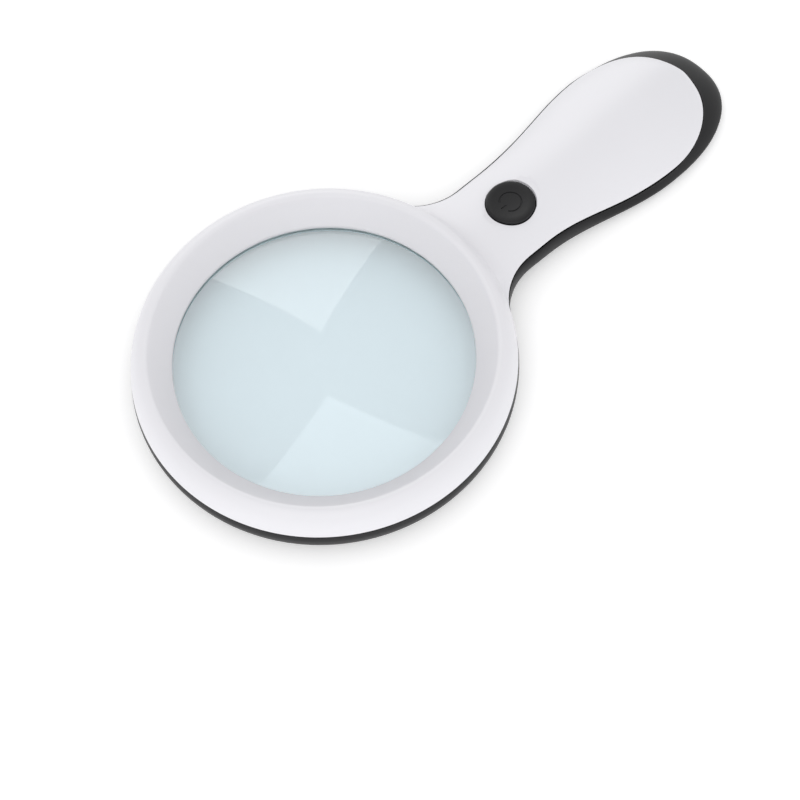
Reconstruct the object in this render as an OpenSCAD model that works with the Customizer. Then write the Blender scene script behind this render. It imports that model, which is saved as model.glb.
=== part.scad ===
// Lighted hand magnifier: a glass lens in a two-piece plastic frame with a battery handle.
// The magnifier lies on its back: the lens axis is +Z, the handle points along +X, and z = 0 is the surface it
// rests on. Every piece is drawn in lens coordinates (lens axis at x = y = 0, shell seam at z = 0) and then
// moved by in_frame(), which puts the middle of the whole outline over the origin.

/* [Lens] */
// Diameter of the glass
lens_d = 90; // [89:0.5:90.5]
// Radius of curvature of the front of the glass
lens_front_r = 250; // [230:1:300]
// Radius of curvature of the back of the glass
lens_back_r = 1200; // [800:10:2000]
// Thickness of the glass at its edge
lens_edge_t = 2.6; // [2.4:0.1:2.8]

/* [Ring] */
// Outer radius of the ring at the seam
ring_r = 56.4; // [56:0.1:57]
// Outer radius of the black part of the ring at its widest
ring_back_r = 56.7; // [56.6:0.1:57]
// Radius of the highest line of the bezel
crest_r = 50.9; // [50.5:0.1:51.5]
// Height of the bezel above the seam
bezel_h = 8.8; // [8.4:0.1:9.4]
// Depth of the frame behind the seam
back_d = 9.6; // [9.5:0.1:10]
// Radius of the clear opening in front of the glass
front_open_r = 44; // [43.6:0.1:44.2]
// Radius of the clear opening behind the glass
back_open_r = 44.2; // [44:0.1:44.4]
// Wall thickness of the two shells
wall = 1.6; // [1.5:0.05:1.7]

/* [Handle] */
// Half width of the white face at the neck
neck_w = 15.6; // [15.4:0.1:16.5]
// Half width of the white face at its widest
bulb_w = 22; // [21.5:0.1:23]
// Distance from the lens axis to the widest place
bulb_x = 122; // [121:0.5:123]
// Distance from the lens axis to the end of the white face
cover_tip = 148.4; // [148:0.1:149]
// Distance from the lens axis to the end of the black shell
shell_tip = 157.3; // [157:0.1:157.8]
// How far the black shell stands out past the white face at the neck
lip_neck = 1.3; // [1.1:0.1:1.4]
// How far the black shell stands out past the white face at its widest
lip_bulb = 1.4; // [1.2:0.1:1.8]
// How far the seam dips along the sides of the handle
seam_dip = 3; // [2.6:0.1:3.2]
// Height of the white face above the seam beside the ring
face_h_neck = 3.9; // [3.8:0.1:4.2]
// Height of the white face above the seam over the batteries
face_h_bulb = 6.6; // [6.5:0.1:7.2]

/* [Button and lamp] */
// Distance from the lens axis to the button and the lamp behind it
lamp_x = 74.4; // [74:0.1:74.8]
// Diameter of the button cap
button_d = 14.9; // [14.5:0.1:15]
// Travel of the button
button_travel = 1; // [0.6:0.1:1]
// Diameter of the lamp window
window_d = 15; // [14:0.1:15.2]

/* [Battery door] */
// Distance from the lens axis to the door's front edge
door_x = 85.2; // [85:0.1:85.4]
// Depth below the seam of the plane that the door slides on
door_plane = 6.4; // [6.3:0.05:6.5]

/* [Hidden] */

round_fn = 96;        // facets shown on round pieces
small_fn = 40;        // facets shown on small round pieces
cut = 0.5;            // overshoot of a cut past the face it opens
lens_x = -(shell_tip - ring_back_r) / 2;
ring_wide_d = 2.6;    // depth below the seam of the black ring's widest line

// Lens seat
lens_mid_z = -0.4;
seat_gap = 0.25;
seat_r = lens_d / 2 + seat_gap;
seat_wall = 1.45;
lip_under_z = lens_mid_z + lens_edge_t / 2 + 0.25;
gasket_t = 0.85;
gasket_top_z = lens_mid_z - lens_edge_t / 2 - 0.25;
ledge_z = gasket_top_z - gasket_t;

// Handle outline
neck_fillet_r = 20;
neck_end_x = 75;      // the neck is straight up to here
root_x = 50;          // the handle solids start here, inside the ring's wall
cavity_x = 58;        // the handle is hollow from here
face_rise_x0 = 56;
face_rise_x1 = 108;
neck_back_d = 7.6;    // depth of the shell beside the ring
back_rise_x0 = 58;
back_rise_x1 = 100;
dip_x0 = 74;          // the seam starts to dip here
dip_x1 = 108;
dip_end_x = 126;      // and rises again from here to the end of the white face
dip_end = 0.8;
wide_d0 = 3.8;        // depth of the black shell's widest line beside the ring
wide_d1 = 6.5;        // and over the batteries
wide_x0 = 68;
wide_x1 = 120;
crown_power = 1.7;    // shape of the white face across the handle
belly_power = 3.2;    // shape of the black shell under its widest line
face_power = 2.1;     // shape of the white face's end, seen from above
nose_power = 2.3;     // shape of the black shell's end, seen from above
flare_x0 = 82;        // the black shell's side is rounded up to here
flare_x1 = 106;       // and flares out nearly straight from here

// Stack under the button, from the lamp board up and down
board_t = 1.6;
board_top_z = -1.0;
board_z = board_top_z - board_t;
board_half = [9.6, 12.4];
board_corner_r = 3;
post_y = 10.6;
post_r = 2.1;
screw_r = 0.95;
pilot_r = 1.0;
screw_head_r = 1.9;
switch_size = 7;
switch_h = 2.2;
button_gap = 0.3;
button_top_z = 4.95;
button_skin = 1.05;
button_flange_r = 8.4;
flange_t = 0.8;
flange_top_z = 1.8;
plunger_r = 1.1;
plunger_head_r = 2.4;
plunger_head_t = 0.5;
switch_top_z = board_top_z + switch_h;
button_under_z = button_top_z - button_skin;
window_t = 1.5;
window_face_z = -8.05;
window_flange_r = 8.3;
window_flange_t = 0.7;
led_size = 5;
led_t = 1.6;

// Battery bay
cell_r = 5.25;
cell_len = 44.5;
nub_len = 0.8;
nub_r = 1.9;
cell_y = 5.45;
cell_z = -1.95;
cell_x = 89.8;        // first end of both cells
coil_len = 3.6;
plate_t = 0.4;
cradle_wall = 1.2;
cradle_y = 12;
cradle_low_z = -4.6;
cradle_top_z = 1.0;
cradle_end_y = 9.4;
pocket_r = 5.45;
cradle_x0 = cell_x - coil_len - plate_t - cradle_wall;
cell_end_x = cell_x + cell_len;
cradle_step_x = cell_end_x + 0.6;
cradle_x1 = cell_end_x + coil_len + plate_t + cradle_wall;
tab_y = 5.5;

// Door, which slides out towards the handle's end on a tongue along each side
door_gap = 0.3;
door_wall = 1.4;
door_y = 13.7;
door_side_t = 1.3;
tongue_reach = 1.2;
tongue_z = [-7.9, -7.1];
tongue_x = [98, 134];
rail_t = 2.4;
rail_top_z = -5.4;

// Deck inside the shell's end, for the two screws that hold the halves together
deck_x = [140, 151.5];
deck_y = 8;
deck_z = [-4.9, -3.9];
shell_screw_x = 142.4;
shell_screw_y = 4.4;
shell_post_r = 2.0;
shell_boss_r = 2.5;
shell_joint_z = -2.6;

// ---- Outline functions -------------------------------------------------------------------------------------
function ease(t) = (1 - cos(180 * min(1, max(0, t)))) / 2;

function fillet_x(r, w) = sqrt(pow(r + neck_fillet_r, 2) - pow(w + neck_fillet_r, 2));

// Half width at x of a handle outline whose neck is nw, whose widest place is bw, and which ends at tip
function half_width(x, nw, bw, tip) =
    let (fx = fillet_x(ring_r, nw))
    x < fx ? nw + neck_fillet_r - sqrt(pow(neck_fillet_r, 2) - pow(fx - x, 2)) :
    x < bulb_x ? nw + (bw - nw) * ease((x - neck_end_x) / (bulb_x - neck_end_x)) :
    bw * pow(max(0, 1 - pow((x - bulb_x) / (tip - bulb_x), face_power)), 1 / face_power);

// Height of the white face along the middle of the handle
function face_h(x, tip) =
    let (h = face_h_neck
             + (face_h_bulb - face_h_neck) * ease((x - face_rise_x0) / (face_rise_x1 - face_rise_x0)))
    let (t = max(0, (x - face_rise_x1) / (tip - face_rise_x1)))
    h * pow(max(0, 1 - pow(t, 2.2)), 1 / 2.2);

// Depth of the black shell along the middle of the handle
function belly_d(x) =
    neck_back_d + (back_d - neck_back_d) * ease((x - back_rise_x0) / (back_rise_x1 - back_rise_x0));

// Depth of the black shell's widest line
function wide_d(x) = wide_d0 + (wide_d1 - wide_d0) * ease((x - wide_x0) / (wide_x1 - wide_x0));

// Height of the seam
function seam_z(x) =
    -seam_dip * ease((x - dip_x0) / (dip_x1 - dip_x0))
    + (seam_dip - dip_end) * ease((x - dip_end_x) / (cover_tip - dip_end_x));

// Stations of the white face: even steps to the widest place, then closer together towards the tip
function stations(x0, tip) = concat(
    [for (i = [0:12]) x0 + (bulb_x - x0) * i / 13],
    [for (a = [0:10:80]) bulb_x + (tip - bulb_x) * sin(a)],
    [tip]);

// One cross-section of the white face, from one seam edge over the crown to the other, then under the base
function face_section(x, inset, below, tip) =
    let (w = max(0.3, half_width(x, neck_w - inset, bulb_w - inset, tip)))
    let (z0 = seam_z(x))
    let (h = max(0.15, face_h(x, tip) - inset - z0))
    concat(
        [for (a = [0:15:180])
            [x, w * cos(a), z0 + h * pow(max(0, sin(a)), crown_power) + (a % 180 == 0 ? 0 : 0.02)]],
        below > 0 ? [[x, -w, z0 - below], [x, w, z0 - below]] : []);

// How far out the black shell's side is, from 0 at the seam to 1 at its widest line, at a share u of the way down
function flare(x, u) =
    let (t = ease((x - flare_x0) / (flare_x1 - flare_x0)))
    pow(1 - pow(1 - u, 2 - 0.7 * t), 0.5 + 0.5 * t);

// Half of a plan outline, from the ring to the middle of the handle's end
function half_plan(x0, neck, bulb, reach, power) = concat(
    [for (i = [0:13]) let (x = x0 + (bulb_x - x0) * i / 13) [x, half_width(x, neck, bulb, bulb_x + reach)]],
    [for (a = [10:10:80]) [bulb_x + reach * pow(sin(a), 2 / power), bulb * pow(cos(a), 2 / power)]],
    [[bulb_x + reach, 0.2]]);

function mirrored(half) = concat(half, [for (i = [len(half) - 1:-1:0]) [half[i][0], -half[i][1], half[i][2]]]);

// Closed outlines of the black shell at falling heights: from the seam out to the widest line, then in underneath
function shell_levels(x0, inset, above) =
    let (top = half_plan(x0, neck_w - inset, bulb_w - inset, cover_tip - inset - bulb_x, face_power))
    let (wide = half_plan(x0, neck_w + lip_neck - inset, bulb_w + lip_bulb - inset, shell_tip - inset - bulb_x,
        nose_power))
    let (n = len(top) - 1)
    concat(
        above > 0 ? [mirrored([for (p = top) [p[0], p[1], seam_z(p[0]) + above]])] : [],
        [for (a = [0:22.5:90])
            mirrored([for (i = [0:n])
                let (z0 = seam_z(top[i][0]) - (above > 0 ? inset : 0))
                let (q = top[i] + (wide[i] - top[i]) * flare(wide[i][0], 1 - cos(a)))
                [q[0], q[1], z0 - (wide_d(wide[i][0]) + z0) * (1 - cos(a))]])],
        [for (a = [20:20:80])
            let (k = pow(cos(a), 2 / belly_power))
            mirrored([for (i = [0:n])
                let (x = wide[i][0])
                let (in_x = x > bulb_x ? bulb_x + (x - bulb_x) * k : x)
                let (lo = belly_d(min(x, bulb_x)) - inset - wide_d(x))
                [in_x, wide[i][1] * k, -wide_d(x) - lo * pow(sin(a), 2 / belly_power)]])]);

// ---- Shape helpers -----------------------------------------------------------------------------------------
module in_frame() {
    translate([lens_x, 0, back_d]) children();
}

// A solid through equal-length closed sections, capped at both ends
module skin(sections) {
    n = len(sections[0]);
    m = len(sections);
    polyhedron(
        points = [for (s = sections) for (p = s) p],
        faces = concat(
            [for (i = [0:m - 2]) for (j = [0:n - 1]) [i * n + j, (i + 1) * n + j, (i + 1) * n + (j + 1) % n]],
            [for (i = [0:m - 2]) for (j = [0:n - 1])
                [i * n + j, (i + 1) * n + (j + 1) % n, i * n + (j + 1) % n]],
            [for (j = [1:n - 2]) [0, j, j + 1]],
            [for (j = [1:n - 2]) [(m - 1) * n, (m - 1) * n + j + 1, (m - 1) * n + j]]),
        convexity = 4);
}

// A solid through closed outlines stacked downwards, whose points pair up across the middle plane
module stack(levels) {
    n = len(levels[0]);
    m = len(levels);
    h = n / 2;
    last = (m - 1) * n;
    polyhedron(
        points = [for (s = levels) for (p = s) p],
        faces = concat(
            [for (i = [0:m - 2]) for (j = [0:n - 2]) [i * n + j, (i + 1) * n + j, (i + 1) * n + j + 1]],
            [for (i = [0:m - 2]) for (j = [0:n - 2]) [i * n + j, (i + 1) * n + j + 1, i * n + j + 1]],
            [for (j = [0:h - 2]) [j, j + 1, n - 2 - j]],
            [for (j = [0:h - 2]) [j, n - 2 - j, n - 1 - j]],
            [for (j = [0:h - 2]) [last + j, last + n - 2 - j, last + j + 1]],
            [for (j = [0:h - 2]) [last + j, last + n - 1 - j, last + n - 2 - j]],
            [for (i = [0:m - 2]) [i * n, (i + 1) * n + n - 1, (i + 1) * n]],
            [for (i = [0:m - 2]) [i * n, i * n + n - 1, (i + 1) * n + n - 1]]),
        convexity = 4);
}

function unit(v) = v / norm(v);

// A round tube of radius r along a path; ref is a direction that the path never follows
module tube_along(path, r, sides, ref) {
    last = len(path) - 1;
    skin([for (i = [0:last])
        let (t = unit(path[min(last, i + 1)] - path[max(0, i - 1)]))
        let (u = unit(cross(t, ref)))
        let (v = cross(t, u))
        [for (k = [0:sides - 1]) path[i] + r * (cos(360 * k / sides) * u + sin(360 * k / sides) * v)]]);
}

// A coil spring wound about +Z from z0 to z1, with its radius going from ra to rb
module coil(z0, z1, ra, rb, turns, wire_r) {
    steps = 12;
    n = round(turns * steps);
    tube_along(
        [for (i = [0:n]) let (a = 360 * i / steps) let (q = i / n) let (r = ra + (rb - ra) * q)
            [r * cos(a), r * sin(a), z0 + wire_r + (z1 - z0 - 2 * wire_r) * q]],
        wire_r, 6, [0, 0, 1]);
}

module box(low, high) {
    translate(low) cube(high - low);
}

module disc(r, z0, z1, fn = round_fn) {
    translate([0, 0, z0]) cylinder(r = r, h = z1 - z0, $fn = fn);
}

module mirrored_y() {
    children();
    mirror([0, 1, 0]) children();
}

module face_solid(inset, below, x0) {
    tip = cover_tip - inset;
    skin([for (x = stations(x0, tip)) face_section(x, inset, below, tip)]);
}

module shell_solid(inset, above, x0) {
    stack(shell_levels(x0, inset, above));
}

// Pan-head screw pointing along -Z with its head resting on z = 0
module screw(length) {
    head_h = 1.0;
    slot_w = 0.5;
    slot_l = 2.4;
    difference() {
        disc(screw_head_r, 0, head_h, small_fn);
        box([-slot_l / 2, -slot_w / 2, head_h / 2], [slot_l / 2, slot_w / 2, head_h + cut]);
        box([-slot_w / 2, -slot_l / 2, head_h / 2], [slot_w / 2, slot_l / 2, head_h + cut]);
    }
    disc(screw_r, -length, 0.01, small_fn);
}

// ---- Frame -------------------------------------------------------------------------------------------------
module bezel_ring() {
    a = ring_r - crest_r;
    outer = [for (t = [0:10:90]) [crest_r + a * cos(t), bezel_h * sin(t)]];
    inner = [for (t = [90:-15:0]) [crest_r + (a - wall) * cos(t), (bezel_h - wall) * sin(t)]];
    rotate_extrude($fn = round_fn) polygon(concat(
        outer,
        [[front_open_r, lip_under_z + 0.5], [front_open_r, lip_under_z], [seat_r, lip_under_z], [seat_r, 0]],
        [[seat_r + seat_wall, 0], [seat_r + seat_wall, lip_under_z + 1.4]],
        inner));
}

module back_ring() {
    a = ring_back_r - crest_r;
    drop = back_d + 0.15 - ring_wide_d;   // the curve is cut off at back_d, which leaves a flat land to rest on
    outer = [for (t = [0:10:80]) [crest_r + a * cos(t), -ring_wide_d - drop * sin(t)]];
    land_r = crest_r + a * cos(asin((back_d - ring_wide_d) / drop));
    inner = [for (t = [90:-15:0]) [crest_r + (a - wall) * cos(t), -(back_d - wall) * sin(t)]];
    rotate_extrude($fn = round_fn) polygon(concat(
        [[ring_r, 0]],
        [for (p = outer) if (p[1] > -back_d) p],
        [[land_r, -back_d], [crest_r - 0.6, -back_d]],
        [[back_open_r, ledge_z - 0.5], [back_open_r, ledge_z], [seat_r, ledge_z], [seat_r, 0]],
        [[seat_r + seat_wall, 0], [seat_r + seat_wall, ledge_z - 1.2]],
        inner));
}

module front_cover() {
    collar_r = button_flange_r + 0.3;
    collar_t = 1.0;
    pilot_top_z = 1.1;
    dish_r = button_d / 2 + 1.75;
    dish_z = 4.4;
    dish_tilt = 3;    // the dish leans back with the rising face
    color([0.91, 0.91, 0.93]) in_frame() {
        difference() {
            union() {
                bezel_ring();
                difference() {
                    face_solid(0, 0, root_x);
                    disc(ring_r - 1, -cut, bezel_h);
                }
            }
            difference() {
                face_solid(wall, 2 * cut, cavity_x);
                mirrored_y() translate([shell_screw_x, shell_screw_y, 0]) disc(shell_post_r, -1, bezel_h, small_fn);
                translate([lamp_x, 0, 0]) difference() {
                    disc(collar_r + collar_t, 0.6, bezel_h);
                    disc(collar_r, -cut, bezel_h + cut);
                }
            }
            translate([lamp_x, 0, 0]) disc(button_d / 2 + button_gap, -cut, 2 * bezel_h);
            translate([lamp_x, 0, dish_z]) rotate([0, -dish_tilt, 0]) disc(dish_r, 0, bezel_h);
            mirrored_y() translate([shell_screw_x, shell_screw_y, 0]) disc(pilot_r, -1, pilot_top_z, small_fn);
        }
        mirrored_y() translate([shell_screw_x, shell_screw_y, 0]) difference() {
            disc(shell_post_r, shell_joint_z, 0.2, small_fn);
            disc(pilot_r, shell_joint_z - cut, 1, small_fn);
        }
    }
}

module back_shell() {
    rail_y = door_y + door_gap;
    groove = [tongue_z[0] - door_gap, tongue_z[1] + door_gap];
    seat_z = deck_z[0] + 1;
    color([0.2, 0.2, 0.21]) in_frame() {
        difference() {
            union() {
                back_ring();
                difference() {
                    shell_solid(0, 0, root_x);
                    disc(ring_r - 1, -2 * back_d, cut);
                }
            }
            difference() {
                shell_solid(wall, 2 * cut, cavity_x);
                mirrored_y() translate([lamp_x, post_y, 0]) disc(post_r, -2 * back_d, board_z, small_fn);
                mirrored_y() box([door_x - wall, rail_y, -2 * back_d], [shell_tip, rail_y + rail_t, rail_top_z]);
            }
            box([door_x - door_gap, -rail_y, -2 * back_d], [shell_tip + 5, rail_y, -door_plane]);
            mirrored_y() box([tongue_x[0] - door_gap, rail_y - cut, groove[0]],
                [shell_tip + 5, rail_y + tongue_reach, groove[1]]);
            translate([lamp_x, 0, 0]) disc(window_d / 2 + 0.05, -2 * back_d, board_z);
            translate([lamp_x, 0, 0]) disc(window_flange_r + 0.1, window_face_z + window_t, board_z);
            mirrored_y() translate([lamp_x, post_y, 0]) disc(pilot_r, -6.2, 0, small_fn);
        }
        difference() {
            union() {
                box([deck_x[0], -deck_y, deck_z[0]], [deck_x[1], deck_y, deck_z[1]]);
                mirrored_y() translate([shell_screw_x, shell_screw_y, 0])
                    disc(shell_boss_r, deck_z[0], shell_joint_z - 0.1, small_fn);
            }
            mirrored_y() translate([shell_screw_x, shell_screw_y, 0]) {
                disc(screw_r + 0.2, deck_z[0] - cut, 0, small_fn);
                disc(screw_head_r + 0.15, deck_z[0] - cut, seat_z, small_fn);
            }
        }
    }
}

// ---- Lens --------------------------------------------------------------------------------------------------
function sag(curve_r, r) = curve_r - sqrt(pow(curve_r, 2) - pow(r, 2));

module lens() {
    half_t = lens_edge_t / 2;
    front_z = half_t + sag(lens_front_r, lens_d / 2);
    back_z = -half_t - sag(lens_back_r, lens_d / 2);
    front = [for (r = [0:lens_d / 40:lens_d / 2]) [r, front_z - sag(lens_front_r, r)]];
    back = [for (r = [lens_d / 2:-lens_d / 20:0]) [r, back_z + sag(lens_back_r, r)]];
    color([0.75, 0.88, 0.92, 0.5]) in_frame() translate([0, 0, lens_mid_z])
        rotate_extrude($fn = round_fn) polygon(concat(front, back));
}

module lens_gasket() {
    color([0.45, 0.5, 0.48]) in_frame() difference() {
        disc(lens_d / 2 + 0.1, ledge_z, gasket_top_z);
        disc(back_open_r, ledge_z - cut, gasket_top_z + cut);
    }
}

// ---- Button and switch -------------------------------------------------------------------------------------
module power_button() {
    r = button_d / 2;
    skirt = 1.1;
    low_z = flange_top_z - flange_t;
    color([0.16, 0.16, 0.17]) in_frame() translate([lamp_x, 0, 0]) rotate_extrude($fn = round_fn) polygon([
        [0, button_under_z], [r - skirt, button_under_z], [r - skirt, low_z], [button_flange_r, low_z],
        [button_flange_r, flange_top_z], [r, flange_top_z], [r, button_top_z - 0.35], [r - 0.35, button_top_z],
        [r * 0.5, button_top_z], [r * 0.42, button_top_z - 0.25], [0, button_top_z - 0.3]]);
}

module switch_plunger() {
    color([0.85, 0.85, 0.82]) in_frame() translate([lamp_x, 0, 0]) {
        disc(plunger_r, switch_top_z - 0.2, button_under_z - plunger_head_t + 0.01, small_fn);
        disc(plunger_head_r, button_under_z - plunger_head_t, button_under_z, small_fn);
    }
}

module switch_spring() {
    color([0.75, 0.76, 0.78]) in_frame() translate([lamp_x, 0, 0])
        coil(switch_top_z, button_under_z - plunger_head_t, 1.75, 1.75, 3.5, 0.15);
}

module switch_body() {
    s = switch_size / 2;
    hole_d = 1.6;
    color([0.12, 0.12, 0.13]) in_frame() translate([lamp_x, 0, 0]) difference() {
        box([-s, -s, board_top_z], [s, s, switch_top_z]);
        disc(plunger_r + 0.08, switch_top_z - hole_d, switch_top_z + cut, small_fn);
    }
}

// ---- Lamp --------------------------------------------------------------------------------------------------
module lamp_board() {
    color([0.1, 0.42, 0.25]) in_frame() translate([lamp_x, 0, 0]) difference() {
        union() {
            box([-board_half[0], board_corner_r - board_half[1], board_z],
                [board_half[0], board_half[1] - board_corner_r, board_top_z]);
            box([board_corner_r - board_half[0], -board_half[1], board_z],
                [board_half[0] - board_corner_r, board_half[1], board_top_z]);
            for (sx = [-1, 1], sy = [-1, 1])
                translate([sx * (board_half[0] - board_corner_r), sy * (board_half[1] - board_corner_r), 0])
                    disc(board_corner_r, board_z, board_top_z, small_fn);
        }
        mirrored_y() translate([0, post_y, 0]) disc(screw_r + 0.25, board_z - cut, board_top_z + cut, small_fn);
    }
}

module board_screws() {
    color([0.7, 0.71, 0.73]) in_frame() mirrored_y() translate([lamp_x, post_y, board_top_z]) screw(4.8);
}

module limit_resistor() {
    color([0.15, 0.15, 0.17]) in_frame() translate([lamp_x - 6.8, 0, 0])
        box([-0.8, -1.6, board_top_z], [0.8, 1.6, board_top_z + 0.6]);
}

module lamp_led() {
    s = led_size / 2;
    color([0.95, 0.93, 0.75]) in_frame() translate([lamp_x, 0, 0]) {
        box([-s, -s, board_z - led_t + 0.4], [s, s, board_z]);
        disc(1.9, board_z - led_t, board_z - led_t + 0.41, small_fn);
    }
}

module lamp_reflector() {
    narrow_r = 3.7;
    wide_r = 7.2;
    t = 0.8;
    low_z = window_face_z + window_t + window_flange_t;
    color([0.85, 0.86, 0.88]) in_frame() translate([lamp_x, 0, 0]) rotate_extrude($fn = round_fn) polygon([
        [narrow_r, board_z], [wide_r, low_z], [wide_r + t, low_z], [narrow_r + t, board_z]]);
}

module lamp_window() {
    z0 = window_face_z;
    color([0.96, 0.96, 0.95]) in_frame() translate([lamp_x, 0, 0]) {
        disc(window_d / 2, z0, z0 + window_t + 0.01);
        disc(window_flange_r, z0 + window_t, z0 + window_t + window_flange_t);
    }
}

// Insulated lead from a contact's solder tab at the side of the bay to the lamp board
wire_path = [
    [83.6, 5.5, 0.9], [83.3, 5.5, 1.4], [82.9, 5.8, 1.7], [82.5, 6.3, 1.8], [82.3, 6.9, 1.6], [82.3, 7.5, 1.1],
    [82.4, 7.9, 0.4], [82.5, 8.1, -0.3], [82.5, 8.2, -0.98]];
wire_r = 0.5;

module wire_red() {
    color([0.75, 0.1, 0.08]) in_frame() mirror([0, 1, 0]) tube_along(wire_path, wire_r, 8, [1, 1, 0]);
}

module wire_black() {
    color([0.08, 0.08, 0.08]) in_frame() tube_along(wire_path, wire_r, 8, [1, 1, 0]);
}

// ---- Battery bay -------------------------------------------------------------------------------------------
module cell_pocket(x0, x1) {
    translate([x0, 0, cell_z]) rotate([0, 90, 0]) cylinder(r = pocket_r, h = x1 - x0, $fn = round_fn);
    box([x0, -pocket_r, -2 * back_d], [x1, pocket_r, cell_z]);
}

module battery_cradle() {
    plate_back = plate_t + 0.2;
    near_spring = cell_x - coil_len - plate_t;
    far_spring = cell_end_x + coil_len + plate_t;
    color([0.17, 0.17, 0.18]) in_frame() difference() {
        union() {
            box([cradle_x0, -cradle_y, cradle_low_z], [cradle_step_x, cradle_y, cradle_top_z]);
            box([cradle_step_x - 1, -cradle_end_y, cradle_low_z], [cradle_x1, cradle_end_y, cradle_top_z]);
        }
        translate([0, -cell_y, 0]) cell_pocket(cell_x - plate_back, far_spring);
        translate([0, cell_y, 0]) cell_pocket(near_spring, cell_end_x + plate_back);
        box([cell_end_x - 0.2, -2, cradle_low_z - cut], [far_spring, 2.6, 0.95]);
    }
}

// AAA cell along +X with its nub at the far end
module cell() {
    rim = 0.4;
    rotate([0, 90, 0]) rotate_extrude($fn = round_fn) polygon([
        [0, 0], [cell_r - rim, 0], [cell_r, rim], [cell_r, cell_len - nub_len - rim],
        [cell_r - rim, cell_len - nub_len], [nub_r, cell_len - nub_len], [nub_r, cell_len], [0, cell_len]]);
}

module battery_1() {
    color([0.72, 0.55, 0.2]) in_frame() translate([cell_end_x, -cell_y, cell_z]) rotate([0, 0, 180]) cell();
}

module battery_2() {
    color([0.72, 0.55, 0.2]) in_frame() translate([cell_x, cell_y, cell_z]) cell();
}

plate_half = 2.9;

module solder_tab(x1) {
    box([cradle_x0 - plate_t, tab_y - 1.2, 0.1], [cradle_x0, tab_y + 1.2, 1.6]);
    box([cradle_x0 - plate_t, tab_y - 1.2, 1.2], [x1, tab_y + 1.2, 1.6]);
}

module contact_positive() {
    x0 = cell_x - plate_t;
    color([0.8, 0.78, 0.7]) in_frame() mirror([0, 1, 0]) {
        box([x0, cell_y - plate_half, cell_z - plate_half], [cell_x, cell_y + plate_half, 1.6]);
        solder_tab(cell_x);
    }
}

module spring_plate(sign) {
    rotate([0, sign * 90, 0]) coil(-0.05, coil_len, 3.2, 2.0, 3, 0.25);
}

module contact_negative() {
    x1 = cell_x - coil_len;
    color([0.8, 0.78, 0.7]) in_frame() {
        box([x1 - plate_t, cell_y - plate_half, cell_z - plate_half], [x1, cell_y + plate_half, 1.6]);
        solder_tab(x1);
        translate([x1, cell_y, cell_z]) spring_plate(1);
    }
}

module contact_bridge() {
    x1 = cell_end_x + coil_len;
    half = plate_half;
    color([0.8, 0.78, 0.7]) in_frame() {
        box([x1, -cell_y - half, cell_z - half], [x1 + plate_t, -cell_y + half + 3.6, cell_z + half - 0.2]);
        box([cell_end_x, 0.4, cell_z - half], [x1 + 0.1, 0.4 + plate_t, cell_z + half - 0.2]);
        box([cell_end_x, 0.4, cell_z - half], [cell_end_x + plate_t, cell_y + half, cell_z + half - 0.2]);
        translate([x1, -cell_y, cell_z]) spring_plate(-1);
    }
}

module shell_screws() {
    color([0.7, 0.71, 0.73]) in_frame() mirrored_y()
        translate([shell_screw_x, shell_screw_y, deck_z[0] + 1]) mirror([0, 0, 1]) screw(4.7);
}

module battery_door() {
    top_z = -door_plane - door_gap;
    color([0.23, 0.23, 0.24]) in_frame() {
        difference() {
            intersection() {
                shell_solid(0, 0, root_x);
                box([door_x, -door_y, -2 * back_d], [shell_tip + 5, door_y, top_z]);
            }
            difference() {
                shell_solid(door_wall, 2 * cut, cavity_x);
                mirrored_y() box([0, door_y - door_side_t, -2 * back_d], [shell_tip, door_y + cut, 0]);
            }
        }
        mirrored_y() box([tongue_x[0], door_y - door_side_t, tongue_z[0]],
            [tongue_x[1], door_y + tongue_reach, tongue_z[1]]);
    }
}

module door_pad() {
    pad_t = 0.5;
    low_z = -back_d + door_wall + 0.15;
    color([0.3, 0.3, 0.32]) in_frame() box([100, -5, low_z], [124, 5, low_z + pad_t]);
}

front_cover();
back_shell();
lens();
lens_gasket();
power_button();
switch_plunger();
switch_spring();
switch_body();
lamp_board();
board_screws();
limit_resistor();
lamp_led();
lamp_reflector();
lamp_window();
wire_red();
wire_black();
battery_cradle();
battery_1();
battery_2();
contact_positive();
contact_negative();
contact_bridge();
shell_screws();
battery_door();
door_pad();
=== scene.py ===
"""Looks of the lighted hand magnifier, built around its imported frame.

Lengths are in millimetres in lens coordinates: the lens axis is at x = y = 0, the shell seam is at z = 0, the
handle points along +X and the white face looks along +Z. to_frame() turns them into metres in the row frame.
"""
import math

import bpy
import numpy as np
from mathutils import Matrix, Vector


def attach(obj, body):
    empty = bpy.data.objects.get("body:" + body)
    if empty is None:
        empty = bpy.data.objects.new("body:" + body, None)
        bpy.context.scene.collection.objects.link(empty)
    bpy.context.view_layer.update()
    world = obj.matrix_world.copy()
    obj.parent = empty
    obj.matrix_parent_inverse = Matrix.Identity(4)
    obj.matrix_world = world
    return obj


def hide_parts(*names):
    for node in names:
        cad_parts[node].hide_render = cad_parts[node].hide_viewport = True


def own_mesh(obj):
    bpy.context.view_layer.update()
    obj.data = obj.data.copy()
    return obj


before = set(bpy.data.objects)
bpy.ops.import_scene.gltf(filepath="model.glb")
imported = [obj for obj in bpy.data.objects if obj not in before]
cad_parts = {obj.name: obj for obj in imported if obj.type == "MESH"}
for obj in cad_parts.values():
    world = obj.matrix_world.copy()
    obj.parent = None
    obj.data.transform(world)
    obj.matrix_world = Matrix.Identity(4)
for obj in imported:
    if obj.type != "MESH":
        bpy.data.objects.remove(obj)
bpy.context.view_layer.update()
scene = bpy.context.scene

# ---- Dimensions, as in the part's source, except SEAM_GAP, SLOT and SEAM_SHOWN, which are only looks ---------
MM = 0.001
BACK_D = 9.6                 # depth of the frame behind the seam

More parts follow.
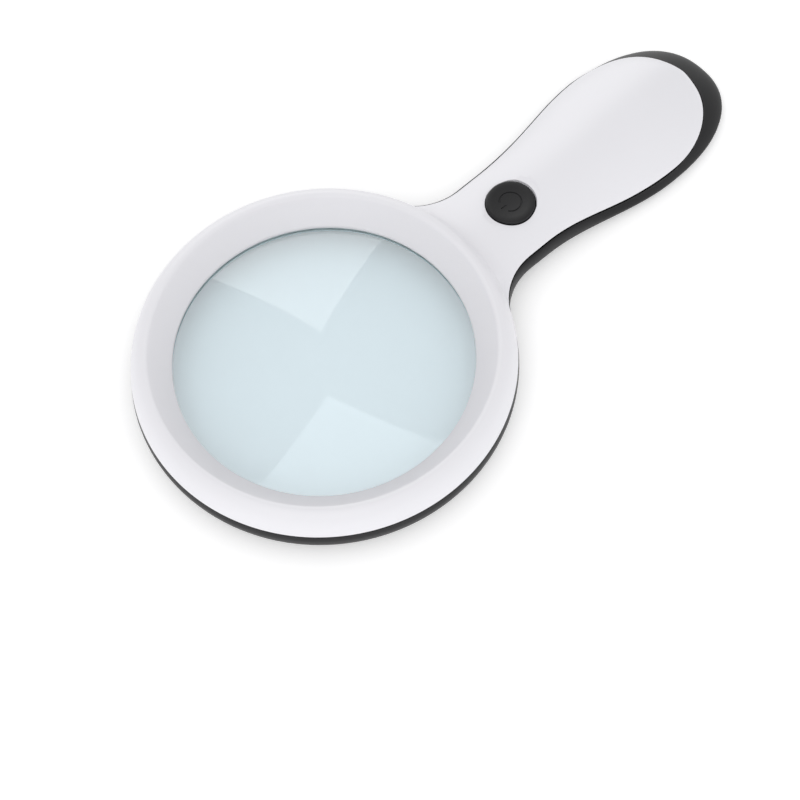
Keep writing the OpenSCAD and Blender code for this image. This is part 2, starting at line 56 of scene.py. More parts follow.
LENS_R = 45.0
LENS_FRONT_R = 250.0
LENS_BACK_R = 1200.0
LENS_EDGE_T = 2.6
LENS_MID_Z = -0.4
FRONT_OPEN_R = 44.0
BACK_OPEN_R = 44.2
SEAT_R = 45.25
LIP_UNDER_Z = 1.15
LEDGE_Z = -2.8

RING_R = 56.4
RING_BACK_R = 56.7           # the black part of the ring is widest at this radius
RING_WIDE_D = 2.6            # and at this depth
CREST_R = 50.9
BEZEL_H = 8.8
WALL = 1.6

NECK_W = 15.6
BULB_W = 22.0
BULB_X = 122.0
NECK_END_X = 75.0
NECK_FILLET_R = 20.0
COVER_TIP = 148.4
SHELL_TIP = 157.3
LENS_X = (RING_BACK_R - SHELL_TIP) / 2    # the lens axis in the row frame
LIP_NECK = 1.3               # how far the black shell stands out past the white face
LIP_BULB = 1.4
FACE_H = (3.9, 6.6)          # height of the white face, beside the ring and over the batteries
FACE_RISE = (56.0, 108.0)
BELLY_D = (7.6, 9.6)         # depth of the black shell
BELLY_DROP = (58.0, 100.0)
WIDE_D = (3.8, 6.5)          # depth of its widest line
WIDE_DROP = (68.0, 120.0)
SEAM_DIP = 3.0
SEAM_DROP = (74.0, 108.0)
SEAM_RISE = (126.0, COVER_TIP)
SEAM_END = 0.8
CROWN_POWER = 1.7
BELLY_POWER = 3.2
FACE_POWER = 2.1
NOSE_POWER = 2.3
FLARE = (82.0, 106.0)        # the black shell's side goes from rounded to nearly straight between these
ROOT_X = 50.0
CAVITY_X = 58.0
SEAM_GAP = 0.12              # half of the fine line between the white and the black shell
SLOT = (0.35, 0.7)           # width and depth of the open slot along that line on the handle
RING_CUT_R = RING_R - 1.2    # the handle's solids reach this far into the ring

LAMP_X = 74.4
BUTTON_R = 7.45
BUTTON_TOP_Z = 4.95
BUTTON_HOLE_R = 7.75
BUTTON_UNDER_Z = 3.9
FLANGE_Z = (1.0, 1.8)        # the button's flange, which keeps it from coming out
SPRING_Z = (1.2, 3.4)        # from the switch up to the plunger's head
SPRING_H = SPRING_Z[1] - SPRING_Z[0]
DISH_Z = 4.4
DISH_TILT = 3.0              # the dish leans back with the rising face
COLLAR_R = 9.7
COLLAR_BORE_R = 8.7
WINDOW_R = 7.5
WINDOW_FACE_Z = -8.05
BOARD_Z = -2.6
POST_Y = 10.6
SHELL_SCREW_X = 142.4
SHELL_SCREW_Y = 4.4
CELL_X = 89.8                # the cells start here
CELL_LENGTH = 44.5

DOOR_X = 85.2
DOOR_Y = 13.7
DOOR_PLANE = 6.4
DOOR_GAP = 0.3
DOOR_WALL = 1.4
DOOR_SIDE_T = 1.3
TONGUE_REACH = 1.2
TONGUE_Z = (-7.9, -7.1)
TONGUE_X = (98.0, 134.0)
RAIL_T = 2.4
RAIL_TOP_Z = -5.4
SEAM_SHOWN = 0.14            # the door's fitted gap where it is seen from outside


# ---- Outline functions -------------------------------------------------------------------------------------
def ease(t):
    """Goes softly from 0 to 1 as t does."""
    return (1 - math.cos(math.pi * min(1.0, max(0.0, t)))) / 2


def between(ends, x, span):
    """Goes softly from the first to the second of two ends as x crosses the span."""
    return ends[0] + (ends[1] - ends[0]) * ease((x - span[0]) / (span[1] - span[0]))


def half_width(x, neck, bulb, tip):
    """Half width at x of a handle outline that ends at tip."""
    fillet_x = math.sqrt((RING_R + NECK_FILLET_R) ** 2 - (neck + NECK_FILLET_R) ** 2)
    if x < fillet_x:
        return neck + NECK_FILLET_R - math.sqrt(NECK_FILLET_R ** 2 - (fillet_x - x) ** 2)
    if x < BULB_X:
        return between((neck, bulb), x, (NECK_END_X, BULB_X))
    return bulb * max(0.0, 1 - ((x - BULB_X) / (tip - BULB_X)) ** FACE_POWER) ** (1 / FACE_POWER)


def face_middle(x, tip):
    """Height of the white face along the middle of the handle. Its end is a little softer than the part's."""
    t = max(0.0, (x - FACE_RISE[1]) / (tip - FACE_RISE[1]))
    return between(FACE_H, x, FACE_RISE) * max(0.0, 1 - t ** 2.2) ** 0.6


def seam_z(x):
    """Height of the seam, which dips along the handle and rises again at its end."""
    return -between((0.0, SEAM_DIP), x, SEAM_DROP) + between((0.0, SEAM_DIP - SEAM_END), x, SEAM_RISE)


def wide_d(x):
    """Depth of the black shell's widest line."""
    return between(WIDE_D, x, WIDE_DROP)


def belly_d(x):
    """Depth of the black shell along the middle of the handle."""
    return between(BELLY_D, min(x, BULB_X), BELLY_DROP)


def face_z(x, y):
    """Height of the white face at any point."""
    k = min(1.0, abs(y) / half_width(x, NECK_W, BULB_W, COVER_TIP))
    return seam_z(x) + (face_middle(x, COVER_TIP) - seam_z(x)) * (1 - k * k) ** (CROWN_POWER / 2)


def belly_z(x, y):
    """Height, below zero, of the black shell's underside at any point before its widest place."""
    k = min(1.0, abs(y) / half_width(x, NECK_W + LIP_NECK, BULB_W + LIP_BULB, SHELL_TIP))
    return -wide_d(x) - (belly_d(x) - wide_d(x)) * (1 - k ** BELLY_POWER) ** (1 / BELLY_POWER)


def flare(x, u):
    """How far out the black shell's side is, 0 at the seam to 1 at its widest, at a share u of the way down."""
    t = between((0.0, 1.0), x, FLARE)
    return (1 - (1 - u) ** (2 - 0.7 * t)) ** (0.5 + 0.5 * t)


def stations(x0, tip, step=1.6):
    """Places along the white face: even steps to its widest place, then closer together towards its end."""
    n = int((BULB_X - x0) / step)
    xs = [x0 + (BULB_X - x0) * i / n for i in range(n)]
    xs += [BULB_X + (tip - BULB_X) * math.sin(math.radians(a)) for a in range(0, 90, 3)]
    xs.append(tip)
    return xs


def half_plan(x0, neck, bulb, reach, power, steps=56):
    """Half of a plan outline, from the ring to the middle of the handle's end."""
    xs = [x0 + (BULB_X - x0) * i / steps for i in range(steps)]
    points = [(x, half_width(x, neck, bulb, BULB_X + reach)) for x in xs]
    for i in range(30):
        a = math.radians(3 * i)
        points.append((BULB_X + reach * math.sin(a) ** (2 / power), bulb * math.cos(a) ** (2 / power)))
    points.append((BULB_X + reach, 0.08))
    return points


# ---- Mesh helpers ------------------------------------------------------------------------------------------
def to_frame(p):
    return ((p[0] + LENS_X) * MM, p[1] * MM, (p[2] + BACK_D) * MM)


def new_object(name, verts, faces):
    mesh = bpy.data.meshes.new(name)
    mesh.from_pydata([to_frame(v) for v in verts], [], faces)
    mesh.validate()
    mesh.update()
    obj = bpy.data.objects.new(name, mesh)
    scene.collection.objects.link(obj)
    return obj


def skin(name, sections):
    """A closed solid through equal-length closed sections, capped at both ends."""
    n, m = len(sections[0]), len(sections)
    verts = [p for s in sections for p in s]
    faces = [(i * n + j, (i + 1) * n + j, (i + 1) * n + (j + 1) % n, i * n + (j + 1) % n)
             for i in range(m - 1) for j in range(n)]
    faces.append(tuple(range(n - 1, -1, -1)))
    faces.append(tuple((m - 1) * n + j for j in range(n)))
    return new_object(name, verts, [f[::-1] for f in faces])


def stack(name, levels):
    """A closed solid through outlines stacked downwards. Each is given as one half and mirrored."""
    h, m = len(levels[0]), len(levels)
    n = 2 * h
    verts = []
    for half in levels:
        verts += half + [(x, -y, z) for x, y, z in reversed(half)]
    faces = [(i * n + j, (i + 1) * n + j, (i + 1) * n + (j + 1) % n, i * n + (j + 1) % n)
             for i in range(m - 1) for j in range(n)]
    last = (m - 1) * n
    for j in range(h - 1):
        faces.append((j, j + 1, n - 2 - j, n - 1 - j))
        faces.append((last + j, last + n - 1 - j, last + n - 2 - j, last + j + 1))
    return new_object(name, verts, faces)


def revolve(name, profile, x0=0.0, steps=256, closed=True):
    """Turns a profile of (radius, z) about the vertical axis at x0. A radius of zero becomes one point."""
    verts, rows = [], []
    for r, z in profile:
        if r < 1e-6:
            rows.append([len(verts)] * steps)
            verts.append((x0, 0.0, z))
        else:
            rows.append(list(range(len(verts), len(verts) + steps)))
            verts += [(x0 + r * math.cos(2 * math.pi * k / steps), r * math.sin(2 * math.pi * k / steps), z)
                      for k in range(steps)]
    faces = []
    pairs = list(zip(rows, rows[1:])) + ([(rows[-1], rows[0])] if closed else [])
    for a, b in pairs:
        for k in range(steps):
            j = (k + 1) % steps
            quad = [a[k], a[j], b[j], b[k]]
            unique = [v for i, v in enumerate(quad) if v not in quad[:i]]
            if len(unique) > 2:
                faces.append(tuple(unique))
    return new_object(name, verts, faces)


def block(name, low, high):
    (x0, y0, z0), (x1, y1, z1) = low, high
    verts = [(x, y, z) for x in (x0, x1) for y in (y0, y1) for z in (z0, z1)]
    faces = [(0, 1, 3, 2), (4, 6, 7, 5), (0, 4, 5, 1), (2, 3, 7, 6), (0, 2, 6, 4), (1, 5, 7, 3)]
    return new_object(name, verts, faces)


def rod(name, x, y, r, z0, z1, steps=48):
    obj = revolve(name, [(0.0, z0), (r, z0), (r, z1), (0.0, z1)], x, steps, closed=False)
    for v in obj.data.vertices:
        v.co.y += y * MM
    return obj


def tilted(obj, x, z, degrees):
    """Leans a piece back towards -X by some degrees, then moves it to x and z."""
    zero = Vector(to_frame((0, 0, 0)))
    turn = Matrix.Rotation(math.radians(-degrees), 3, "Y")
    for v in obj.data.vertices:
        v.co = turn @ (v.co - zero) + zero + Vector((x * MM, 0, z * MM))
    return obj


def face_outward(obj):
    """Makes every face of a closed mesh point outward."""
    bpy.context.view_layer.objects.active = obj
    bpy.ops.object.select_all(action="DESELECT")
    obj.select_set(True)
    bpy.ops.object.mode_set(mode="EDIT")
    bpy.ops.mesh.select_all(action="SELECT")
    bpy.ops.mesh.normals_make_consistent(inside=False)
    bpy.ops.object.mode_set(mode="OBJECT")
    return obj


def apply_modifier(obj, modifier):
    bpy.context.view_layer.objects.active = obj
    bpy.ops.object.modifier_apply(modifier=modifier.name)


def combine(obj, others, how):
    """Cuts others out of obj, adds them, or keeps what they share. The others are used up."""
    face_outward(obj)
    for other in others:
        face_outward(other)
        m = obj.modifiers.new("combine", "BOOLEAN")
        m.operation = how
        m.solver = "MANIFOLD"
        m.object = other
        apply_modifier(obj, m)
        bpy.data.objects.remove(other)
    return obj


def cut(obj, *others):
    return combine(obj, others, "DIFFERENCE")


def add(obj, *others):
    return combine(obj, others, "UNION")


def keep(obj, *others):
    return combine(obj, others, "INTERSECT")


def join(obj, *others):
    bpy.ops.object.select_all(action="DESELECT")
    for o in (obj, *others):
        o.select_set(True)
    bpy.context.view_layer.objects.active = obj
    bpy.ops.object.join()
    return obj


def smooth(obj, angle=35):
    for p in obj.data.polygons:
        p.use_smooth = True
    obj.data.set_sharp_from_angle(angle=math.radians(angle))
    return obj


def pair(maker):
    """The same piece on both sides of the middle plane."""
    return [maker(1), maker(-1)]


def rods_at_screws(name, r, z0, z1):
    """Rods round the two screws that close the halves."""
    return pair(lambda side: rod(name, SHELL_SCREW_X, side * SHELL_SCREW_Y, r, z0, z1))


def round_corner(before, corner, after, r, steps=6):
    """Points of a quadratic curve that rounds one corner of a profile at distance r from it."""
    b, c, a = (np.array(p, float) for p in (before, corner, after))
    p0 = c + (b - c) / np.linalg.norm(b - c) * r
    p2 = c + (a - c) / np.linalg.norm(a - c) * r
    shares = np.linspace(0, 1, steps + 1)
    return [tuple((1 - t) ** 2 * p0 + 2 * t * (1 - t) * c + t ** 2 * p2) for t in shares]


# ---- Materials ---------------------------------------------------------------------------------------------
def material(name, color, roughness, metallic=0.0, **inputs):
    mat = bpy.data.materials.new(name)
    mat.use_nodes = True
    shader = mat.node_tree.nodes["Principled BSDF"]
    shader.inputs["Base Color"].default_value = (*color, 1.0)
    shader.inputs["Roughness"].default_value = roughness
    shader.inputs["Metallic"].default_value = metallic
    for key, value in inputs.items():
        shader.inputs[key.replace("_", " ")].default_value = value
    return mat


def add_grain(mat, scale, bump, depth_mm, tint=0.0, gloss=0.0):
    """Moulded grain: a fine noise bump, with small changes of colour and of roughness."""
    nodes, links = mat.node_tree.nodes, mat.node_tree.links
    shader = nodes["Principled BSDF"]
    where = nodes.new("ShaderNodeTexCoord")
    noise = nodes.new("ShaderNodeTexNoise")
    noise.inputs["Scale"].default_value = scale
    noise.inputs["Detail"].default_value = 3.0
    links.new(where.outputs["Object"], noise.inputs["Vector"])
    bumper = nodes.new("ShaderNodeBump")
    bumper.inputs["Strength"].default_value = bump
    bumper.inputs["Distance"].default_value = depth_mm * MM
    links.new(noise.outputs["Fac"], bumper.inputs["Height"])
    links.new(bumper.outputs["Normal"], shader.inputs["Normal"])
    broad = nodes.new("ShaderNodeTexNoise")
    broad.inputs["Scale"].default_value = 45.0
    broad.inputs["Detail"].default_value = 4.0
    links.new(where.outputs["Object"], broad.inputs["Vector"])
    if gloss:
        base = shader.inputs["Roughness"].default_value
        spread = nodes.new("ShaderNodeMapRange")
        spread.inputs["To Min"].default_value = base - gloss
        spread.inputs["To Max"].default_value = base + gloss
        links.new(broad.outputs["Fac"], spread.inputs["Value"])
        links.new(spread.outputs["Result"], shader.inputs["Roughness"])
    if tint:
        color = shader.inputs["Base Color"].default_value[:3]
        ramp = nodes.new("ShaderNodeValToRGB")
        ramp.color_ramp.elements[0].position = 0.3
        ramp.color_ramp.elements[1].position = 0.7
        ramp.color_ramp.elements[0].color = (*[c * (1 - tint) for c in color], 1.0)
        ramp.color_ramp.elements[1].color = (*[min(1.0, c * (1 + tint)) for c in color], 1.0)
        links.new(broad.outputs["Fac"], ramp.inputs["Fac"])
        links.new(ramp.outputs["Color"], shader.inputs["Base Color"])
    return mat


white = add_grain(material("white_plastic", (0.81, 0.805, 0.84), 0.38),
                  2600, 0.12, 0.03, tint=0.006, gloss=0.03)
black = add_grain(material("black_plastic", (0.010, 0.010, 0.011), 0.42, Specular_IOR_Level=0.22),
                  2200, 0.25, 0.04, tint=0.06, gloss=0.05)
button_black = add_grain(material("button_plastic", (0.009, 0.009, 0.010), 0.36, Specular_IOR_Level=0.30),
                         2600, 0.2, 0.03, tint=0.06, gloss=0.04)
glass = material("optical_glass", (0.88, 0.965, 1.0), 0.0, IOR=1.52, Transmission_Weight=1.0)
ground_edge = add_grain(material("ground_edge", (0.90, 0.95, 0.94), 0.6), 3000, 0.2, 0.02, tint=0.03)
gasket = add_grain(material("gasket_rubber", (0.72, 0.78, 0.77), 0.6), 1500, 0.2, 0.05, tint=0.08)
frosted = add_grain(material("frosted_plastic", (0.86, 0.86, 0.85), 0.45, Subsurface_Weight=0.1),
                    1800, 0.3, 0.03, tint=0.01)
inner_black = add_grain(material("inner_plastic", (0.04, 0.04, 0.043), 0.55), 900, 0.3, 0.05, tint=0.1)
plunger_plastic = add_grain(material("plunger_plastic", (0.7, 0.7, 0.65), 0.45), 1500, 0.2, 0.03, tint=0.02)
steel = add_grain(material("screw_steel", (0.6, 0.6, 0.62), 0.3, 1.0), 1200, 0.2, 0.02, tint=0.05, gloss=0.08)
spring_steel = add_grain(material("spring_steel", (0.62, 0.63, 0.65), 0.25, 1.0), 1500, 0.1, 0.02, gloss=0.05)
contact_metal = add_grain(material("contact_metal", (0.72, 0.69, 0.6), 0.28, 1.0),
                          900, 0.15, 0.02, tint=0.04, gloss=0.06)
board_green = add_grain(material("board_laminate", (0.015, 0.16, 0.06), 0.35), 700, 0.2, 0.03, tint=0.15)
ceramic = add_grain(material("ceramic_dark", (0.03, 0.03, 0.033), 0.6), 1500, 0.3, 0.03, tint=0.1)
led_resin = add_grain(material("led_resin", (0.85, 0.72, 0.2), 0.2), 1200, 0.1, 0.02, tint=0.04)
mirror = add_grain(material("reflector_metal", (0.88, 0.88, 0.9), 0.12, 1.0), 900, 0.1, 0.02, gloss=0.04)
foam = add_grain(material("foam", (0.05, 0.05, 0.053), 0.95), 1100, 1.0, 0.2, tint=0.3)
red_sleeve = add_grain(material("wire_red", (0.5, 0.02, 0.015), 0.4), 1500, 0.1, 0.02, tint=0.05)
black_sleeve = add_grain(material("wire_black", (0.012, 0.012, 0.012), 0.4), 1500, 0.1, 0.02, tint=0.05)


def cell_sleeve(name, flip):
    """A plain sleeve: a gold band towards the positive end, dark grey for the rest, and bare metal ends."""
    dark_from, gold_from, cap_from = 0.015, 0.68, 0.965
    mat = material(name, (0.05, 0.05, 0.055), 0.3, 0.35, Coat_Weight=0.4, Coat_Roughness=0.15)
    nodes, links = mat.node_tree.nodes, mat.node_tree.links
    where = nodes.new("ShaderNodeTexCoord")
    split = nodes.new("ShaderNodeSeparateXYZ")
    along = nodes.new("ShaderNodeMapRange")
    ends = ((CELL_X + LENS_X) * MM, (CELL_X + CELL_LENGTH + LENS_X) * MM)
    along.inputs["From Min"].default_value = ends[1] if flip else ends[0]
    along.inputs["From Max"].default_value = ends[0] if flip else ends[1]
    ramp = nodes.new("ShaderNodeValToRGB")
    ramp.color_ramp.interpolation = "CONSTANT"
    ramp.color_ramp.elements[0].color = (0.6, 0.6, 0.6, 1.0)
    ramp.color_ramp.elements[1].position = dark_from
    ramp.color_ramp.elements[1].color = (0.03, 0.03, 0.035, 1.0)
    for position, color in ((gold_from, (0.62, 0.36, 0.08)), (cap_from, (0.6, 0.6, 0.6))):
        ramp.color_ramp.elements.new(position).color = (*color, 1.0)
    links.new(where.outputs["Object"], split.inputs["Vector"])
    links.new(split.outputs["X"], along.inputs["Value"])
    links.new(along.outputs["Result"], ramp.inputs["Fac"])
    links.new(ramp.outputs["Color"], nodes["Principled BSDF"].inputs["Base Color"])
    return mat


def dress(obj, mat):
    obj.data.materials.clear()
    obj.data.materials.append(mat)
    return obj


def piece(obj, mat, body, nodes, angle=35):
    """Finishes a new piece: shading, material, body and the CAD nodes that it stands for."""
    smooth(obj, angle)
    dress(obj, mat)
    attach(obj, body)
    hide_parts(*nodes)
    return obj


# ---- Front cover -------------------------------------------------------------------------------------------
def face_section(x, inset, below, tip, steps=48):
    """A section across the white face at x. With below, it goes that far under the seam, to cut a hollow."""
    w = max(0.3, half_width(x, NECK_W - inset, BULB_W - inset, tip))
    z0 = seam_z(x) + SEAM_GAP
    h = max(0.15, face_middle(x, tip) - inset - z0)
    points = []
    for i in range(steps + 1):
        a = math.pi * i / steps
        rise = 0.0 if i in (0, steps) else 0.02
        points.append((x, w * math.cos(a), z0 + rise + h * max(0.0, math.sin(a)) ** CROWN_POWER))
    if below:
        points += [(x, -w, z0 - below), (x, w, z0 - below)]
    return points


def face_solid(name, inset, below, x0):
    tip = COVER_TIP - inset
    return skin(name, [face_section(x, inset, below, tip) for x in stations(x0, tip)])


def blend_strip(name, surface, flank, flank_angle, size, lift):
    """A soft valley where the handle's surface meets the ring's flank, as a strip tangent to both."""
    rows = []
    limit = 27.5             # degrees round the ring to each side of the handle's middle
    steps = 120
    for i in range(steps + 1):
        theta = math.radians(-limit + 2 * limit * i / steps)
        c, s = math.cos(theta), math.sin(theta)
        # Halve the span of t until the flank is as high as the surface: that is where they meet.
        t_low, t_high = 0.0, math.pi / 2
        for _ in range(40):
            t = (t_low + t_high) / 2
            r, z = flank(t)
            if abs(z) < abs(surface(r * c, r * s)):
                t_low = t
            else:
                t_high = t
        r_c = flank(t)[0]
        # Step outwards to the handle's edge. The strip narrows where there is little room before it.
        r_out = r_c
        while r_out < r_c + 10 and abs(r_out * s) < half_width(r_out * c, NECK_W, BULB_W, COVER_TIP):
            r_out += 0.1
        room = max(0.03, min(1.0, (r_out - r_c - 0.3) / (size + 0.8)))
        out = size * room
        # A curve from a on the flank to b on the surface, with each end in line with what it leaves.
        t_a = t + flank_angle * room
        a = np.array(flank(t_a))
        a_next = np.array(flank(t_a - 0.01))
        b = np.array([r_c + out, surface((r_c + out) * c, (r_c + out) * s)])
        b_next = np.array([r_c + out - 0.05, surface((r_c + out - 0.05) * c, (r_c + out - 0.05) * s)])
        reach = np.linalg.norm(b - a) * 0.42
        p1 = a + (a_next - a) / np.linalg.norm(a_next - a) * reach
        p2 = b + (b_next - b) / np.linalg.norm(b_next - b) * reach
        row = []
        for u in np.linspace(0, 1, 15):
            p = (1 - u) ** 3 * a + 3 * u * (1 - u) ** 2 * p1 + 3 * u ** 2 * (1 - u) * p2 + u ** 3 * b
            row.append((p[0] * c, p[0] * s, p[1] + lift * math.sin(math.pi * u)))
        rows.append(row)
    n = len(rows[0])
    verts = [p for row in rows for p in row]
    faces = [(i * n + j, i * n + j + 1, (i + 1) * n + j + 1, (i + 1) * n + j)
             for i in range(len(rows) - 1) for j in range(n - 1)]
    if lift < 0:
        faces = [f[::-1] for f in faces]
    return new_object(name, verts, faces)


def front_flank(t):
    return CREST_R + (RING_R - CREST_R) * math.cos(t), BEZEL_H * math.sin(t)


def make_front_ring():
    top = (CREST_R, BEZEL_H)
    flank = [front_flank(math.radians(a)) for a in np.linspace(3, 82, 40)]
    inner = (FRONT_OPEN_R + 0.25, LIP_UNDER_Z + 0.62)
    profile = [(RING_R - 0.35, SEAM_GAP)] + flank
    profile += round_corner(flank[-1], (CREST_R - 0.1, BEZEL_H + 0.02), inner, 0.9, 10)
    profile += round_corner(top, inner, (FRONT_OPEN_R + 0.1, LIP_UNDER_Z), 0.3, 4)
    profile += [(FRONT_OPEN_R + 0.1, LIP_UNDER_Z), (SEAT_R, LIP_UNDER_Z), (SEAT_R, SEAM_GAP)]
    return revolve("front_ring", profile[::-1])


def make_front_cover():
    face = face_solid("front_cover", 0.0, 0.0, ROOT_X)
    cut(face, rod("ring_inside", 0, 0, RING_CUT_R, -2, 20, 256))
    hollow = face_solid("hollow", WALL, 1.0, CAVITY_X)
    collar = rod("collar", LAMP_X, 0, COLLAR_R, 0.6, 20, 96)
    cut(hollow, cut(collar, rod("collar_bore", LAMP_X, 0, COLLAR_BORE_R, -2, 30, 96)))
    cut(face, hollow)
    # A shallow dish round the button, with an edge that curves up into the face.
    floor_r = BUTTON_HOLE_R + 0.4
    edge_w, edge_h = 1.8, 0.55
    dish = [(0.0, 0.0), (floor_r, 0.0)]
    dish += [(floor_r + edge_w * i / 10, edge_h * (i / 10) ** 2) for i in range(1, 11)]
    dish += [(floor_r + 4.0, 2.0), (floor_r + 4.0, 8.0), (0.0, 8.0)]
    cut(face, tilted(revolve("dish", dish, 0.0, 128, closed=False), LAMP_X, DISH_Z, DISH_TILT))
    edge = BUTTON_HOLE_R
    hole = [(0.0, -2.0), (edge, -2.0), (edge, 3.9), (edge + 0.06, 4.15), (edge + 0.25, 4.34)]
    hole += [(edge + 0.25, 5.5), (0.0, 5.5)]
    cut(face, revolve("hole", hole, LAMP_X, 128, closed=False))
    posts = rods_at_screws("post", 2.0, -2.6, 2.0)
    valley = blend_strip("valley", face_z, front_flank, 0.4, 6.0, 0.02)
    ring = make_front_ring()
    for o in (face, ring, valley):
        smooth(o, 32)
    return join(face, ring, valley, *posts)


front_cover = make_front_cover()
piece(front_cover, white, "frame", ["front_cover"], 32)


# ---- Back shell and door -----------------------------------------------------------------------------------
def slot_edge(top, wide, rise):
    """The outer edge of the slot beside a point of the seam."""
    share = SLOT[0] / math.hypot(wide[0] - top[0], wide[1] - top[1])
    return (top[0] + (wide[0] - top[0]) * share, top[1] + (wide[1] - top[1]) * share, seam_z(top[0]) + rise)


def shell_levels(x0, inset, above):
    """Outlines of the black shell at falling heights: out from the seam to its widest, then in underneath."""
    wide_neck = NECK_W + LIP_NECK - inset
    wide_bulb = BULB_W + LIP_BULB - inset
    top = half_plan(x0, NECK_W - inset, BULB_W - inset, COVER_TIP - inset - BULB_X, FACE_POWER)
    wide = half_plan(x0, wide_neck, wide_bulb, SHELL_TIP - inset - BULB_X, NOSE_POWER)
    ends = list(zip(top, wide))
    levels = []
    # A hollow starts above the seam. The shell itself starts with the floor of the slot.
    if above:
        levels.append([(x, y, seam_z(x) + above) for x, y in top])
    else:
        levels.append([(x, y, seam_z(x) - SLOT[1]) for x, y in top])
        levels.append([slot_edge(t, w, -SLOT[1]) for t, w in ends])
    # Out from the seam to the widest line.
    for i in range(15):
        down = 1 - math.cos(math.pi / 28 * i)
        level = []
        for (xt, yt), (xw, yw) in ends:
            z0 = seam_z(xt) - (inset if above else SEAM_GAP)
            out = flare(xw, down)
            if not above:
                out = max(out, SLOT[0] / math.hypot(xw - xt, yw - yt))
            level.append((xt + (xw - xt) * out, yt + (yw - yt) * out, z0 - (wide_d(xw) + z0) * down))
        levels.append(level)
    # In underneath, to the flat of the back.
    for i in range(1, 22):
        a = math.radians(4 * i)
        k, down = math.cos(a) ** (2 / BELLY_POWER), math.sin(a) ** (2 / BELLY_POWER)
        level = []
        for x, y in wide:
            in_x = BULB_X + (x - BULB_X) * k if x > BULB_X else x
            level.append((in_x, y * k, -wide_d(x) - (belly_d(x) - inset - wide_d(x)) * down))
        levels.append(level)
    return levels


def shell_solid(name, inset, above, x0):
    return stack(name, shell_levels(x0, inset, above))


def back_flank(t):
    drop = BACK_D + 0.12 - RING_WIDE_D
    return CREST_R + (RING_BACK_R - CREST_R) * math.cos(t), -RING_WIDE_D - drop * math.sin(t)


def make_back_ring():
    flank = [back_flank(math.radians(a)) for a in np.linspace(4, 84, 41)]
    land = [(CREST_R + 0.9, -BACK_D), (CREST_R - 0.6, -BACK_D)]
    inner = (BACK_OPEN_R + 0.2, LEDGE_Z - 0.55)
    step = RING_BACK_R - RING_R
    side_z = -SEAM_GAP - 0.3
    side_h = RING_WIDE_D - SEAM_GAP - 0.3
    profile = [(SEAT_R, -SEAM_GAP), (RING_R - 0.3, -SEAM_GAP), (RING_R - 0.05, -SEAM_GAP - 0.08)]
    profile += [(RING_R + step * math.sin(math.pi / 2 * u), side_z - side_h * u) for u in np.linspace(0, 1, 7)]
    profile += [(r, z) for r, z in flank if z > -BACK_D + 0.02]
    profile += [land[0]]
    profile += round_corner(land[0], land[1], inner, 0.7, 8)
    profile += round_corner(land[1], inner, (BACK_OPEN_R, LEDGE_Z), 0.3, 4)
    profile += [(BACK_OPEN_R, LEDGE_Z), (SEAT_R, LEDGE_Z)]
    return revolve("back_ring", profile[::-1])


def side_block(name, x_span, y_span, z_span, side):
    """A block on one side of the middle plane. y_span is measured outward from that plane."""
    y0, y1 = y_span if side > 0 else (-y_span[1], -y_span[0])
    return block(name, (x_span[0], y0, z_span[0]), (x_span[1], y1, z_span[1]))


def make_back_shell():
    far = SHELL_TIP + 5
    shell = shell_solid("back_shell", 0.0, 0.0, ROOT_X)
    cut(shell, rod("ring_inside", 0, 0, RING_CUT_R, -20, 5, 256))
    hollow = shell_solid("hollow", WALL, 1.0, CAVITY_X)
    rail_y = DOOR_Y + SEAM_SHOWN
    cut(hollow, *pair(lambda side: rod("post", LAMP_X, side * POST_Y, 2.1, -20, BOARD_Z)))
    cut(hollow, *pair(lambda side: side_block("rail", (DOOR_X - WALL, SHELL_TIP), (rail_y, rail_y + RAIL_T),
                                              (-20, RAIL_TOP_Z), side)))
    cut(shell, hollow)
    cut(shell, block("opening", (DOOR_X - SEAM_SHOWN, -rail_y, -20), (far, rail_y, -DOOR_PLANE)))
    cut(shell, *pair(lambda side: side_block("groove", (TONGUE_X[0] - DOOR_GAP, far),
                                             (rail_y - 0.5, DOOR_Y + DOOR_GAP + TONGUE_REACH),
                                             (TONGUE_Z[0] - DOOR_GAP, TONGUE_Z[1] + DOOR_GAP), side)))
    well_r = WINDOW_R + 1.7
    bore_r = WINDOW_R + 0.1
    seat_r = WINDOW_R + 0.9
    well = [(0.0, -20.0), (well_r, -20.0), (well_r, -8.35), (WINDOW_R + 1.45, -8.12)]
    well += [(bore_r, -7.6), (bore_r, -6.5), (seat_r, -6.5), (seat_r, BOARD_Z), (0.0, BOARD_Z)]
    cut(shell, revolve("well", well, LAMP_X, 128, closed=False))
    # A small deck inside the end holds the two screws that close the halves.
    deck_low, deck_high = -4.9, -3.9
    deck = block("deck", (140, -8, deck_low), (151.5, 8, deck_high))
    add(deck, *rods_at_screws("boss", 2.5, deck_low, -2.7))
    cut(deck, *rods_at_screws("bore", 1.15, -6, 0))
    cut(deck, *rods_at_screws("seat", 2.05, -6, deck_high))
    valley = blend_strip("valley", belly_z, back_flank, 0.2, 3.0, -0.02)
    ring = make_back_ring()
    for o in (shell, ring, valley, deck):
        smooth(o, 32)
    return join(shell, ring, valley, deck)


back_shell = make_back_shell()
piece(back_shell, black, "frame", ["back_shell"], 32)


